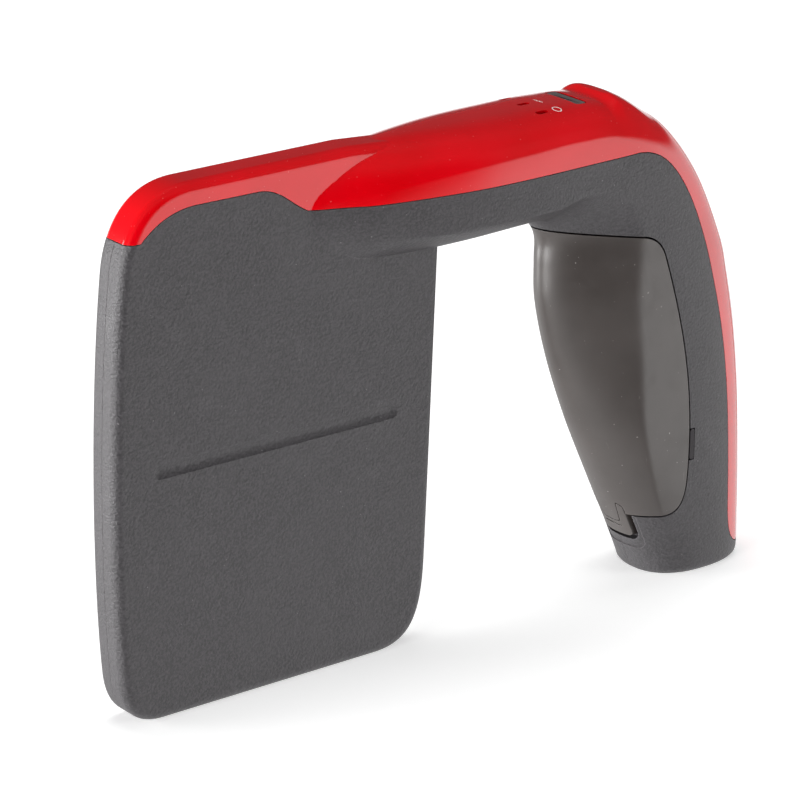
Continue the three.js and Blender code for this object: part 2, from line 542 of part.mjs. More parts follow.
// ---------- antenna in the paddle ----------
const belowTop = (top) => solid(block([-FRONT, -SIDE, -1], [FRONT, SIDE, top]));
let antennaBoard = solid(across(paddleOutline, -ANTENNA.thick / 2, ANTENNA.thick / 2, { grow: -5.5, curve: 3 }))
  .intersect(belowTop(ANTENNA.top));
for (const { x, z } of SCREW_PLACES) {
  antennaBoard = antennaBoard.subtract(solid(rodAcross(SCREW.boss + 0.5, -9, 9, x, z, 14)));
}
piece('antenna_board', antennaBoard, 'circuit');
const copperFrom = ANTENNA.thick / 2 + GAP;
const copperOuter = solid(across(rectangle(65, 72, 70, 108, 12), copperFrom, copperFrom + ANTENNA.copper));
const copperInner = solid(across(rectangle(65, 72, 60, 98, 8), 0, 5));
piece('antenna_loop', copperOuter.subtract(copperInner), 'copper');
piece('feed_shield', block([38, copperFrom, 92], [54, copperFrom + 2.5, 106]), 'steel');
piece('feed_socket', block([44.4, copperFrom, 106.4], [47.6, copperFrom + 2.5, 109.4]), 'gold');
piece('antenna_coax', cable([[22, 0, BOARD.bottom - 2.2], [22.4, 0.5, 141.5], [26, 2.1, 138.5], [34, 2.6, 134],
  [42, 2.6, 127], [45.6, 2.6, 118], [46, 2.6, 109.8]], 0.8, 20), 'cable');
piece('spacer_foam', block([30, -4, 30], [95, -copperFrom, 112]), 'foam');

export default group;
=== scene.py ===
import math

import bmesh
import bpy
import numpy as np
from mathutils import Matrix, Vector
from mathutils.geometry import interpolate_bezier


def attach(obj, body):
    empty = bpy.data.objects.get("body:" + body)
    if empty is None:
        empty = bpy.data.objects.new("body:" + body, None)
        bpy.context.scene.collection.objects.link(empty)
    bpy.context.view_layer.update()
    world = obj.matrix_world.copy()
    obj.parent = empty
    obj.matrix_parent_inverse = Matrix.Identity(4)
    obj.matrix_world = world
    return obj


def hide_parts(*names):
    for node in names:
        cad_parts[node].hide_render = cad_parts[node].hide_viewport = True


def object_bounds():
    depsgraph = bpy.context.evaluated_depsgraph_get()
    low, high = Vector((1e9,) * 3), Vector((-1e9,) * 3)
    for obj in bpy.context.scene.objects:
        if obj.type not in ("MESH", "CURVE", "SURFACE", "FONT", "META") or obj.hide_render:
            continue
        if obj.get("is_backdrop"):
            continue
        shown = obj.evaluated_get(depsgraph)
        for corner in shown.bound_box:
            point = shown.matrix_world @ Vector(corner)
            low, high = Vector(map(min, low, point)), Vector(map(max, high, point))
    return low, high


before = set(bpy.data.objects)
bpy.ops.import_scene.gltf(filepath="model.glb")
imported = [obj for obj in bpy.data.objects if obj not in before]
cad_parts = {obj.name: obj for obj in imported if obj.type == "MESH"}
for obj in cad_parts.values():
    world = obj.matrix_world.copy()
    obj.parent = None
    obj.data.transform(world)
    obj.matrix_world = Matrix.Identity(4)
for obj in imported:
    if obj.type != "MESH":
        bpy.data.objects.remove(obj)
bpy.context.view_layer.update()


# ---------------------------------------------------------------- the outer form
# The reader is one continuous shape, and its mouldings are that shape parted along seams: a flat
# antenna paddle, and an arm that bends down into the grip. The form is made once, as the master
# model for the moulds was, and every moulding below is cut from it.
MM = 0.001
PADDLE_FRONT = 120           # from the mould drawing's datum to the paddle's front edge
REAR = -115
SHIFT = -(PADDLE_FRONT + REAR) / 2
TOP = 159.2
HALF_PADDLE = 6.5
EDGE = 3                     # radius round the paddle's edges
SIDE = 40


def solid_of(name, points, faces):
    """A closed body from points in millimetres on the mould drawing."""
    mesh = bpy.data.meshes.new(name)
    mesh.from_pydata([((x + SHIFT) * MM, y * MM, z * MM) for x, y, z in points], [], faces)
    work = bmesh.new()
    work.from_mesh(mesh)
    bmesh.ops.recalc_face_normals(work, faces=work.faces)
    work.to_mesh(mesh)
    work.free()
    body = bpy.data.objects.new(name, mesh)
    bpy.context.scene.collection.objects.link(body)
    return body


def skinned(name, rings):
    """A body skinned over rings with the same number of points, closed at both ends."""
    sides = len(rings[0])
    points = [point for ring in rings for point in ring]
    starts = range(0, sides * (len(rings) - 1), sides)
    faces = [(low + i, low + (i + 1) % sides, low + sides + (i + 1) % sides, low + sides + i)
             for low in starts for i in range(sides)]
    faces += [tuple(range(sides)), tuple(range(len(points) - sides, len(points)))]
    return solid_of(name, points, faces)


def outline(start, *moves, fine=20):
    """A closed outline: a move is a point, or a curve's one or two handles and its end."""
    line = [start]
    for move in moves:
        if not isinstance(move[0], tuple):
            line.append(move)
            continue
        first, last = Vector(line[-1]), Vector(move[-1])
        handles = [Vector(handle) for handle in move[:-1]]
        if len(handles) == 1:
            handles = [first.lerp(handles[0], 2 / 3), last.lerp(handles[0], 2 / 3)]
        curve = interpolate_bezier(first, handles[0], handles[1], last, fine)
        line += [(point.x, point.y) for point in curve[1:]]
    return line


def grown(line, by):
    """The outline moved outwards everywhere by a distance."""
    here = np.array(line, dtype=float)
    if by == 0:
        return here
    before = here - np.roll(here, 1, axis=0)
    following = np.roll(here, -1, axis=0)
    after = following - here
    area = np.sum(here[:, 0] * following[:, 1] - following[:, 0] * here[:, 1])
    turn = 1 if area > 0 else -1
    out = [turn * np.stack([way[:, 1], -way[:, 0]], axis=1) / np.linalg.norm(way, axis=1)[:, None]
           for way in (before, after)]
    share = 1 + np.sum(out[0] * out[1], axis=1)
    return here + by * (out[0] + out[1]) / share[:, None]


def across(u, v, level):
    return (u, level, v)


def along(u, v, level):
    return (level, u, v)


def upright(u, v, level):
    return (u, v, level)


def drawn(name, line, levels, way=across):
    """An outline carried through levels, each with how far the outline is grown there."""
    return skinned(name, [[way(u, v, level) for u, v in grown(line, by)] for level, by in levels])


def rounded(cx, cy, width, height, radius, fine=8):
    """A rectangle with rounded corners, by its centre and size."""
    x, y = width / 2 - radius, height / 2 - radius
    corners = [(x, y, 0), (-x, y, 90), (-x, -y, 180), (x, -y, 270)]
    return [(cx + px + radius * math.cos(math.radians(start + 90 * i / fine)),
             cy + py + radius * math.sin(math.radians(start + 90 * i / fine)))
            for px, py, start in corners for i in range(fine + 1)]


def circle(cx, cy, radius, sides=32):
    return [(cx + radius * math.cos(2 * math.pi * i / sides),
             cy + radius * math.sin(2 * math.pi * i / sides)) for i in range(sides)]


def block(name, low, high):
    line = [(low[0], low[2]), (high[0], low[2]), (high[0], high[2]), (low[0], high[2])]
    return drawn(name, line, [(low[1], 0), (high[1], 0)])


def settle(piece):
    """The piece's modifiers become its mesh."""
    ready = piece.evaluated_get(bpy.context.evaluated_depsgraph_get())
    old = piece.data
    piece.data = bpy.data.meshes.new_from_object(ready)
    piece.modifiers.clear()
    bpy.data.meshes.remove(old)
    return piece


def same(piece, name):
    twin = bpy.data.objects.new(name, piece.data.copy())
    bpy.context.scene.collection.objects.link(twin)
    return twin


def discard(*bodies):
    for body in bodies:
        mesh = body.data
        bpy.data.objects.remove(body)
        bpy.data.meshes.remove(mesh)


def shaped(piece, how, tools, keep):
    for tool in tools:
        step = piece.modifiers.new("shape", "BOOLEAN")
        step.operation = how
        step.solver = "MANIFOLD"
        step.object = tool
        settle(piece)
        if not keep:
            discard(tool)
    return piece


def cut(piece, *tools, keep=False):
    return shaped(piece, "DIFFERENCE", tools, keep)


def join(piece, *tools):
    return shaped(piece, "UNION", tools, False)


def within(piece, *tools, keep=False):
    return shaped(piece, "INTERSECT", tools, keep)


CREASE_BEND = 0.55           # how the flat side eases into the nose at the crease
BACK_FROM, BACK_FULL = 9, 11.5   # stations between which the wall grows to the thicker back
RIDGE_STATIONS = (7, 8)

# Slices of the arm and the grip, from the bow in front of the arm to the foot: inner and outer
# point as x and z, half width, where it is widest, how square its two halves are, and how far
# from the inner point a soft crease parts the flat side from the nose, and how marked it is.
SLICES = np.array([
    (52, 134, 52, 148.5, 6.2, 0.6, 2, 1.8, 6, 0),
    (48.5, 125.5, 48.5, 153.5, 7.5, 0.62, 2, 1.7, 7, 0),
    (40, 123.2, 40, 157, 9.5, 0.58, 2.1, 1.7, 7.5, 0),
    (28, 122.8, 28, 158.2, 13.2, 0.56, 2.2, 2, 8, 0.3),
    (12, 122.6, 12, 158.8, 16.4, 0.55, 2.4, 2.5, 8, 0.7),
    (-4, 122.7, -4, 159, 18.4, 0.55, 2.6, 2.9, 8, 0.9),
    (-20, 123.1, -22, 159, 18.8, 0.55, 2.7, 3.1, 8, 1),
    (-29.8, 123.2, -40.1, 158.8, 18.5, 0.55, 2.7, 3.2, 8.5, 1),
    (-33.8, 121.6, -58.2, 157, 18.1, 0.55, 2.7, 3.1, 14, 1),
    (-36.2, 118.6, -77.2, 148.4, 17.8, 0.55, 2.7, 2.8, 21, 1),
    (-37.2, 114.6, -93, 130.6, 17.5, 0.52, 2.6, 2.6, 26, 1),
    (-37, 108, -104.2, 108, 17.3, 0.5, 2.6, 2.55, 26.5, 1),
    (-37.6, 95, -108.2, 95, 17.1, 0.5, 2.6, 2.5, 25.4, 1),
    (-42.4, 76, -112.1, 76, 16.9, 0.5, 2.6, 2.45, 22.5, 1),
    (-50.6, 55, -114.3, 55, 16.6, 0.5, 2.6, 2.45, 16, 0.9),
    (-61.2, 33, REAR, 33, 16.3, 0.5, 2.5, 2.45, 11, 0.6),
    (-70.4, 14, REAR, 14, 16, 0.5, 2.4, 2.45, 9, 0.2),
    (-75, 4, REAR + 0.2, 4, 15.8, 0.5, 2.4, 2.45, 9, 0),
    (-76, 1.2, REAR + 0.8, 1.2, 15.4, 0.5, 2.4, 2.45, 9, 0),
    (-77, 0, REAR + 2.2, 0, 14.2, 0.5, 2.4, 2.45, 9, 0),
])


def slice_at(place):
    """A slice between the stations, on a smooth curve through them."""
    i = min(int(place), len(SLICES) - 2)
    f = place - i
    a = SLICES[i - 1] if i > 0 else 2 * SLICES[0] - SLICES[1]
    b, c = SLICES[i], SLICES[i + 1]
    d = SLICES[i + 2] if i + 2 < len(SLICES) else 2 * SLICES[-1] - SLICES[-2]
    return b + 0.5 * f * (c - a + f * (2 * a - 5 * b + 4 * c - d + f * (3 * (b - c) + d - a)))


def ease(value, start, end):
    k = min(max((value - start) / (end - start), 0), 1)
    return k * k * (3 - 2 * k)


# The thumb ridge stands across the arm behind the key, steep in front and running out behind.
RIDGE = {"height": 2.6, "foot": -53.4, "crest": -58.8, "end": -73, "flat": 12, "fade": 18.5}


def ridge_height(x, y):
    rise = ease(-x, -RIDGE["foot"], -RIDGE["crest"])
    rise *= 1 - ease(-x, -RIDGE["crest"], -RIDGE["end"])
    return RIDGE["height"] * rise * (1 - ease(abs(y + 1), RIDGE["flat"], RIDGE["fade"]))


def handle(name, side=0.0, back=None, around=64, step=4.0, ridge=False):
    """The arm and grip in one, or a body inside it by depths at the sides and at the back."""
    back = side if back is None else back
    places = []
    for i in range(len(SLICES) - 1):
        length = np.linalg.norm(SLICES[i + 1][2:4] - SLICES[i][2:4])
        spacing = step / 3 if ridge and i in RIDGE_STATIONS else step
        count = max(2, math.ceil(length / spacing))
        places += [i + k / count for k in range(count)]
    places.append(len(SLICES) - 1)
    rings = []
    for place in places:
        (inner_x, inner_z, outer_x, outer_z, half, widest,
         inner_square, outer_square, crease, mark) = slice_at(place)
        reach = np.array([outer_x - inner_x, outer_z - inner_z])
        depth = np.linalg.norm(reach)
        reach /= depth
        rear = side + (back - side) * ease(place, BACK_FROM, BACK_FULL)
        middle = depth * widest
        ring = []
        for k in range(around):
            c, s = math.cos(2 * math.pi * k / around), math.sin(2 * math.pi * k / around)
            bend = 2 / (outer_square if c > 0 else inner_square)
            span = depth - rear - middle if c > 0 else middle - side
            far = middle + span * math.copysign(abs(c) ** bend, c)
            y = (half - side) * math.copysign(abs(s) ** bend, s)
            if c < 0:
                nose = min(1, max(0, (far - side) / (crease - side))) ** CREASE_BEND
                y += mark * ((half - side) * math.copysign(nose, s) - y) if abs(s) > 1e-6 else 0
            x, z = inner_x + reach[0] * far, inner_z + reach[1] * far
            if ridge and c > 0:
                z = min(z + ridge_height(x, y) * min(1, 2 * c), TOP)
            ring.append((x, y, z))
        rings.append(ring)
    return skinned(name, rings)


paddle_line = outline(
    (28, 0), (104, 0), ((113.5, 0), (117.6, 5.5), (118.4, 15)),
    ((PADDLE_FRONT + 0.9, 45), (PADDLE_FRONT - 0.1, 98), (115.6, 134)),
    ((114, 149), (106, TOP), (91, TOP)), (36, TOP), (4, TOP - 2.4), (4.2, 126),
    ((6, 90), (7.6, 55), (9.2, 26)), ((10.2, 9), (14, 0), (28, 0)), fine=28)[:-1]


def paddle(name, inset=0.0):
    steps = 7
    turns = [math.pi / 2 * i / steps for i in range(steps + 1)]
    if inset:
        level = HALF_PADDLE - inset
        return drawn(name, paddle_line, [(-level, -inset), (level, -inset)])
    half = [(HALF_PADDLE - EDGE + EDGE * math.sin(a), EDGE * math.cos(a) - EDGE) for a in turns]
    return drawn(name, paddle_line, [(-y, by) for y, by in reversed(half)] + half)


# A shallow finger groove runs along both faces of the paddle, with soft shoulders.
GROOVE = {"z": 76.5, "from": 22.6, "to": 103.7, "half": 2.4, "depth": 0.85}


def groove(name, way):
    rings = []
    for k in range(11):
        share = 0.04 + 0.96 * k / 10
        level = HALF_PADDLE - GROOVE["depth"] * (1 - share ** 1.8) + (0.02 if k == 10 else 0)
        half = GROOVE["half"] * share
        length = GROOVE["to"] - GROOVE["from"] + 2 * half
        line = rounded((GROOVE["from"] + GROOVE["to"]) / 2, GROOVE["z"],
                       length, 2 * half, half * 0.999)
        rings.append([(x, way * level, z) for x, z in line])
    rings.append([(x, way * (HALF_PADDLE + 2), z) for x, _, z in rings[-1]])
    return skinned(name, rings)


WALL, SPINE_WALL, GAP = 2.2, 4.6, 0.3
COVER_SEAM, INLAY_SEAM, PACK_SEAM = 0.22, 0.5, 0.6
outside = join(handle("outside", around=144, step=1.2, ridge=True), paddle("paddle"))
cut(outside, groove("groove", 1), groove("groove", -1))
room = join(handle("room", WALL, SPINE_WALL), paddle("paddle_room", WALL))
within(room, block("above_floor", (-PADDLE_FRONT, -SIDE, 2.6), (PADDLE_FRONT, SIDE, TOP)))
cut(room, block("latch_backing", (-82, -SIDE, -1), (-50, SIDE, 29)))


# ---------------------------------------------------------------- top cover
# One gloss red cover, injection moulded and lacquered, runs over the paddle's top edge, along
# the arm and down the back of the grip. It snaps over the two housings and holds the main board.
cover_line = outline(
    (PADDLE_FRONT + 5, 144.8), (108.8, 144.8),
    ((104, 149.5), (98, 152.6), (90, 152.6)), (69, 152.4),
    ((61.5, 152), (58.5, 147), (52, 143.6)), (34, 142.7), (-62, 142.7),
    ((-82, 141), (-90, 112), (-96.6, 90)), ((-102.5, 68), (-103.6, 50), (-103.6, 20)),
    ((-103.6, 9), (-106, 5.4), (-111, 5)),
    (REAR - 10, 5), (REAR - 10, TOP + 10), (PADDLE_FRONT + 5, TOP + 10))
KEY = {"x": -47, "length": 15.2, "width": 4, "top": 158.2}
LAMP = {"x": -31, "pitch": 8.7, "length": 3.8, "width": 1.3, "top": 157.4}
LAMP_ROWS = [-LAMP["pitch"], 0, LAMP["pitch"]]
INLAY = {"half": 10.5, "bottom": 8, "top": 152, "thick": 1.6}
BOARD_SCREWS = [(-53, -7.5), (-53, 7.5), (26, 0)]
BOARD_TOP = 148.8


def above_seam(name, by=0.0):
    return drawn(name, cover_line, [(-SIDE, by), (SIDE, by)])


def inlay_strip(name, by=0.0):
    middle = (INLAY["bottom"] + INLAY["top"]) / 2
    line = rounded(0, middle, 2 * INLAY["half"], INLAY["top"] - INLAY["bottom"],
                   INLAY["half"] - 0.05, fine=14)
    return drawn(name, line, [(REAR - 10, by), (-64, by)], along)


def key_slot(grow):
    return rounded(KEY["x"], 0, KEY["width"] + 2 * grow, KEY["length"] + 2 * grow, 1.1 + grow)


def lamp_slot(y, grow):
    return rounded(LAMP["x"], y, LAMP["length"] + 2 * grow, LAMP["width"] + 2 * grow,
                   LAMP["width"] / 2 + grow - 0.01)


class Amount:
    """A shader value. Python's signs add the Math nodes."""

    def __init__(self, finish, socket):
        self.finish = finish
        self.socket = socket

    def math(self, operation, first, second):
        return self.finish.node("Math", {"operation": operation}, {0: first, 1: second})

    def __add__(self, other):
        return self.math("ADD", self, other)

    def __radd__(self, other):
        return self.math("ADD", other, self)

    def __sub__(self, other):
        return self.math("SUBTRACT", self, other)

    def __rsub__(self, other):
        return self.math("SUBTRACT", other, self)

    def __mul__(self, other):
        return self.math("MULTIPLY", self, other)

    def __rmul__(self, other):
        return self.math("MULTIPLY", other, self)


def tint(red, green, blue):
    """A colour from its screen values, 0 to 255."""
    straight = [(v / 255 / 12.92) if v < 11 else ((v / 255 + 0.055) / 1.055) ** 2.4
                for v in (red, green, blue)]
    return (*straight, 1)


class Finish:
    """A material on the piece's own coordinates, with one shader."""

    def __init__(self, name, **fixed):
        self.material = bpy.data.materials.new(name)
        self.material.use_nodes = True
        self.tree = self.material.node_tree
        self.shader = self.tree.nodes["Principled BSDF"]
        for socket, value in fixed.items():
            self.shader.inputs[socket.replace("_", " ")].default_value = value
        self.place = self.node("TexCoord", out="Object")

    def node(self, kind, settings=None, sockets=None, out=0):
        made = self.tree.nodes.new("ShaderNode" + kind)
        for setting, value in (settings or {}).items():
            if setting == "stops":
                for stop, (position, colour) in zip(made.color_ramp.elements, value):
                    stop.position, stop.color = position, colour
            else:
                setattr(made, setting, value)
        for socket, value in (sockets or {}).items():
            if isinstance(value, Amount):
                self.tree.links.new(value.socket, made.inputs[socket])
            else:
                made.inputs[socket].default_value = value
        return Amount(self, made.outputs[out])

    def noise(self, size, detail=2.0, rough=0.5, stretch=None, warp=0.0):
        """Cloudy values about 0 to 1, with lumps of a size in millimetres."""
        place = self.place
        if stretch:
            place = self.node("Mapping", None, {"Vector": place, "Scale": stretch})
        return self.node("TexNoise", None, {
            "Vector": place, "Scale": 1 / (size * MM), "Detail": detail,
            "Roughness": rough, "Distortion": warp})

    def cells(self, size, feature="F1"):
        return self.node("TexVoronoi", {"feature": feature},
                         {"Vector": self.place, "Scale": 1 / (size * MM)}, "Distance")

    def fade(self, value, start, end):
        return self.node("MapRange", {"interpolation_type": "SMOOTHSTEP"},
                         {"Value": value, "From Min": start, "From Max": end})

    def mix(self, share, first, second):
        return self.node("Mix", {"data_type": "RGBA"}, {0: share, 6: first, 7: second}, out=2)

    def worn_edges(self, radius):
        """1 on edges and 0 on open faces."""
        bent = self.soft_edges(radius)
        straight = self.node("NewGeometry", out="Normal")
        alike = self.node("VectorMath", {"operation": "DOT_PRODUCT"},
                          {0: bent, 1: straight}, out="Value")
        return self.fade(1 - alike, 0.01, 0.2)

    def soft_edges(self, radius):
        return self.node("Bevel", {"samples": 4}, {"Radius": radius * MM})

    def bump(self, height, depth, strength, normal=None):
        sockets = {"Height": height, "Distance": depth * MM, "Strength": strength}
        if normal is not None:
            sockets["Normal"] = normal
        return self.node("Bump", None, sockets)

    def set(self, **links):
        for socket, value in links.items():
            self.tree.links.new(value.socket, self.shader.inputs[socket.replace("_", " ")])
        return self


red = Finish("red_lacquer", Coat_Weight=1.0, Coat_Roughness=0.025, Specular_IOR_Level=0.05)
cloud = red.noise(26, detail=3)
dust = red.fade(red.noise(0.9, detail=1), 0.74, 0.8)
wipe = red.noise(5, detail=4, rough=0.6, stretch=(0.25, 1, 1))
edge = red.worn_edges(0.35)
body_colour = red.mix(red.fade(cloud, 0.3, 0.7), tint(196, 0, 8), tint(206, 0, 14))
body_colour = red.mix(edge * 0.35, body_colour, tint(226, 60, 56))
body_colour = red.mix(dust * 0.12, body_colour, tint(226, 190, 186))
ripple = red.noise(3.4, detail=1) * 0.7 + red.noise(0.7, detail=2) * 0.12
red.set(Base_Color=body_colour, Roughness=0.17 + 0.1 * wipe + 0.15 * dust,
        Normal=red.bump(ripple, 0.02, 0.35, red.soft_edges(0.22)))


def smooth(piece, angle=32):
    """Rounded faces read as one surface, and real edges stay crisp."""
    work = bmesh.new()
    work.from_mesh(piece.data)
    bmesh.ops.remove_doubles(work, verts=work.verts, dist=0.002 * MM)
    bmesh.ops.dissolve_degenerate(work, edges=work.edges, dist=0.002 * MM)
    work.to_mesh(piece.data)
    work.free()
    piece.data.shade_smooth()
    piece.data.set_sharp_from_angle(angle=math.radians(angle))
    even = piece.modifiers.new("even_shading", "WEIGHTED_NORMAL")
    even.keep_sharp = True
    even.weight = 60
    return piece


def fitted(piece, finish, body, slot, *nodes):
    """The finished piece takes its material, its place on a body and the nodes it stands for."""
    piece.data.materials.clear()
    piece.data.materials.append(finish.material)
    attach(piece, body)
    if nodes:
        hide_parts(*nodes)
    return piece


cover = cut(same(outside, "cover_moulding"), room, keep=True)
within(cover, above_seam("seam"))
for x, y in BOARD_SCREWS:
    pillar = drawn("pillar", circle(x, y, 2.2),
                   [(BOARD_TOP + GAP, 0), (BOARD_TOP + GAP + 8, 0)], upright)
    join(cover, within(pillar, outside, keep=True))
    cut(cover, drawn("bore", circle(x, y, 1.1, 16),
                     [(BOARD_TOP - 1, 0), (BOARD_TOP + 4.2, 0)], upright))
cut(cover, cut(inlay_strip("inlay_bed", INLAY_SEAM), handle("under_inlay", INLAY["thick"] + GAP)))
cut(cover, drawn("key_hole", key_slot(GAP), [(150, 0), (TOP + 5, 0)], upright))
for y in LAMP_ROWS:
    cut(cover, drawn("lamp_hole", lamp_slot(y, GAP), [(150, 0), (TOP + 5, 0)], upright))
fitted(smooth(cover), red, "reader", "cover", "top_cover")


# ---------------------------------------------------------------- spine inlay
# A red strip let into the back of the cover, from behind the thumb ridge to the foot. It is
# moulded in the same lacquered plastic and glued in, with a fine gap all round.
inlay = cut(same(outside, "inlay_strip"), handle("inlay_back", INLAY["thick"]))
within(inlay, inlay_strip("strip"))
within(inlay, above_seam("inlay_end", -1))
fitted(smooth(inlay), red, "reader", "cover", "spine_inlay")


# ---------------------------------------------------------------- housing halves
# Two dark grey halves in tough plastic, with a fine spark-eroded grain, meet on the middle plane.
# Their pillars take seven screws from the right side, and a wall inside them wraps the pack's bay.
pack_line = outline(
    (-30, 120.4), (-64, 115.4), ((-70.3, 114.2), (-72.6, 108.5)),
    ((-82, 82), (-85.4, 62), (-85, 42)),
    ((-84.8, 28), (-84, 22), (-76, 22)), (-30, 22))
SCREW = {"radius": 1.25, "head": 2.5, "pillar": 3.4, "seat": 2.2}
SCREW_PLACES = [(27, 14, 6.5), (102, 14, 6.5), (106, 136, 6.5), (12, 130, 14.6), (-58, 131, 17.2),
                (-89, 84, 16.6), (-98, 15, 15.4)]
LATCH = {"half": 6.6, "bottom": 13.6, "top": 25.4, "corner": 1.6, "thick": 2.4, "margin": 1.5,
         "deep": 3.9}
LATCH_FROM, LATCH_TO = -85, -50   # where the latch's wall of the grip lies
GUIDE = {"from": -87.2, "to": -85.6, "bottom": 39, "top": 49, "inside": 12.6}


def pack_form(name, by=0.0):
    return drawn(name, pack_line, [(-SIDE, by), (SIDE, by)])


def tab(name, margin, deep=0.0):
    """The latch's tab seen from in front, drawn into the grip."""
    low, high = LATCH["bottom"] - margin, LATCH["top"] + margin
    line = rounded(0, (low + high) / 2, 2 * (LATCH["half"] + margin), high - low,
                   LATCH["corner"] + margin)
    body = drawn(name, line, [(LATCH_FROM, 0), (LATCH_TO, 0)], along)
    return cut(body, handle("behind", deep, around=96, step=2)) if deep else body


def rod(name, x, z, radius, start, end, sides=32):
    return drawn(name, circle(x, z, radius, sides), [(start, 0), (end, 0)])


grey = Finish("grained_plastic", Specular_IOR_Level=0.5)
pits = grey.cells(0.95, "SMOOTH_F1")
grain = grey.noise(0.75, detail=2, rough=0.6)
mottle = grey.noise(14, detail=4, rough=0.6)
rub = grey.fade(grey.noise(9, detail=5, rough=0.65, warp=0.6), 0.56, 0.72)
specks = grey.fade(grey.noise(0.8, detail=0), 0.84, 0.87)
edge = grey.worn_edges(0.4)
colour = grey.mix(grey.fade(mottle, 0.3, 0.7), tint(50, 48, 50), tint(56, 54, 56))
colour = grey.mix(grey.fade(grain, 0.4, 0.62) * 0.7, colour, tint(70, 67, 70))
colour = grey.mix(edge * 0.4, colour, tint(128, 123, 126))
colour = grey.mix(specks * 0.35, colour, tint(150, 146, 148))
grey.set(Base_Color=colour, Roughness=0.43 + 0.16 * grain - 0.07 * rub,
         Normal=grey.bump(grain + pits * 0.5, 0.27, 0.9, grey.soft_edges(0.3)))

wall = cut(same(room, "wall"), pack_form("bay", GAP + WALL))
shell = cut(same(outside, "shell"), wall)
for x, z, out in SCREW_PLACES:
    join(shell, within(rod("pillar", x, z, SCREW["pillar"], 1 - out, out - 1), outside, keep=True))
cut(shell, above_seam("seam", COVER_SEAM), pack_form("pack_bay", PACK_SEAM))
cut(shell, tab("tab_recess", LATCH["margin"], LATCH["deep"]))
cut(shell, block("contact_window", (-92, -9.3, 30.7), (-82, 9.3, 38.3)))
for low, high in ((-SIDE, GAP - GUIDE["inside"]), (GUIDE["inside"] - GAP, SIDE)):
    cut(shell, block("notch", (GUIDE["from"] - GAP, low, GUIDE["bottom"] - GAP),
                     (GUIDE["to"] + 2, high, GUIDE["top"] + GAP)))
for x, z, out in SCREW_PLACES:
    cut(shell, rod("thread", x, z, SCREW["radius"] + GAP, -out, out - 2.2, 20))
    cut(shell, rod("counterbore", x, z, SCREW["head"] + GAP, -out - 6, SCREW["seat"] - out))
# The latch's surround is sunk a little, and a draft step rings it.
surround = cut(drawn("surround", rounded(0, 22, 18.4, 26, 3.2),
                     [(LATCH_FROM, 0), (LATCH_TO, 0)], along),
               handle("sunk", 0.28, around=96, step=2))
cut(shell, surround)
line_of_parting = {"left": (GAP / 4, SIDE), "right": (-SIDE, -GAP / 4)}
for side, (low, high) in line_of_parting.items():
    half = within(same(shell, f"housing_{side}_moulding"),
                  block("half", (-PADDLE_FRONT - 20, low, -5), (PADDLE_FRONT + 20, high, TOP + 20)))
    fitted(smooth(half), grey, "reader", "housing", f"housing_{side}")
discard(shell)


# ---------------------------------------------------------------- case screws
# Seven zinc-plated pan-head thread-forming screws hold the halves together. Each has a
# six-lobed drive and sits at the bottom of a counterbore in the right half.
steel = Finish("zinc_plate", Metallic=1.0)
brushed = steel.noise(0.8, detail=3, stretch=(1, 6, 1))
tarnish = steel.fade(steel.noise(3, detail=4), 0.45, 0.7)
steel.set(Base_Color=steel.mix(tarnish, tint(196, 198, 200), tint(158, 156, 150)),
          Roughness=0.24 + 0.16 * brushed + 0.12 * tarnish, Normal=steel.bump(brushed, 0.01, 0.3))


def screw(name, x, z, seat, tip):
    """Turned on its own axis, the head at the low end."""
    angles = [2 * math.pi * i / 40 for i in range(40)]
    head, shank, pitch, ring_gap, point = SCREW["head"], SCREW["radius"], 0.9, 0.22, 0.45

    def turned(level, radius_at):
        return [(x + radius_at(a) * math.cos(a), level, z + radius_at(a) * math.sin(a))
                for a in angles]

    profile = [(0.9, -1.0), (1.6, -1.5), (head - 0.3, -1.35), (head, -1.0), (head, -0.1),
               (head - 0.12, 0), (shank, 0)]
    rings = [turned(seat + level, lambda a, radius=radius: radius) for radius, level in profile]
    length = tip - seat
    count = max(4, int(length / ring_gap))
    for k in range(1, count):
        down = (length - 0.8) * k / count
        rings.append(turned(seat + 0.2 + down, lambda a: shank - 0.22 + 0.2 * (
            0.5 + 0.5 * math.cos(a - 2 * math.pi * down / pitch))))
    rings.append(turned(tip, lambda a: point))
    lobes = [(x + (1.12 + 0.2 * math.cos(6 * a)) * math.cos(a),
              z + (1.12 + 0.2 * math.cos(6 * a)) * math.sin(a))
             for a in [2 * math.pi * k / 48 for k in range(48)]]
    return cut(skinned(name, rings), drawn("drive", lobes, [(seat - 3, 0), (seat - 0.6, 0)]))


for i, (x, z, out) in enumerate(SCREW_PLACES, 1):
    seat = -out + SCREW["seat"] - GAP
    fitted(smooth(screw(f"case_screw_{i}_turned", x, z, seat, min(out - 2.6, 6))),
           steel, "reader", "steel", f"case_screw_{i}")


# ---------------------------------------------------------------- scan key
# A slim dark gloss key lies across the arm in front of the thumb ridge. Its top is dished, it
# slides in the cover on its flange, and it presses a switch on the board through a rubber seal.
gloss = Finish("dark_gloss", Coat_Weight=0.8, Coat_Roughness=0.06)
smear = gloss.noise(2.5, detail=4, rough=0.6)
edge = gloss.worn_edges(0.25)
gloss.set(Base_Color=gloss.mix(edge * 0.5, gloss.mix(smear, tint(84, 77, 77), tint(106, 98, 98)),
                               tint(140, 132, 132)),
          Roughness=0.22 + 0.2 * smear,
          Normal=gloss.bump(gloss.noise(0.4), 0.01, 0.3, gloss.soft_edges(0.15)))

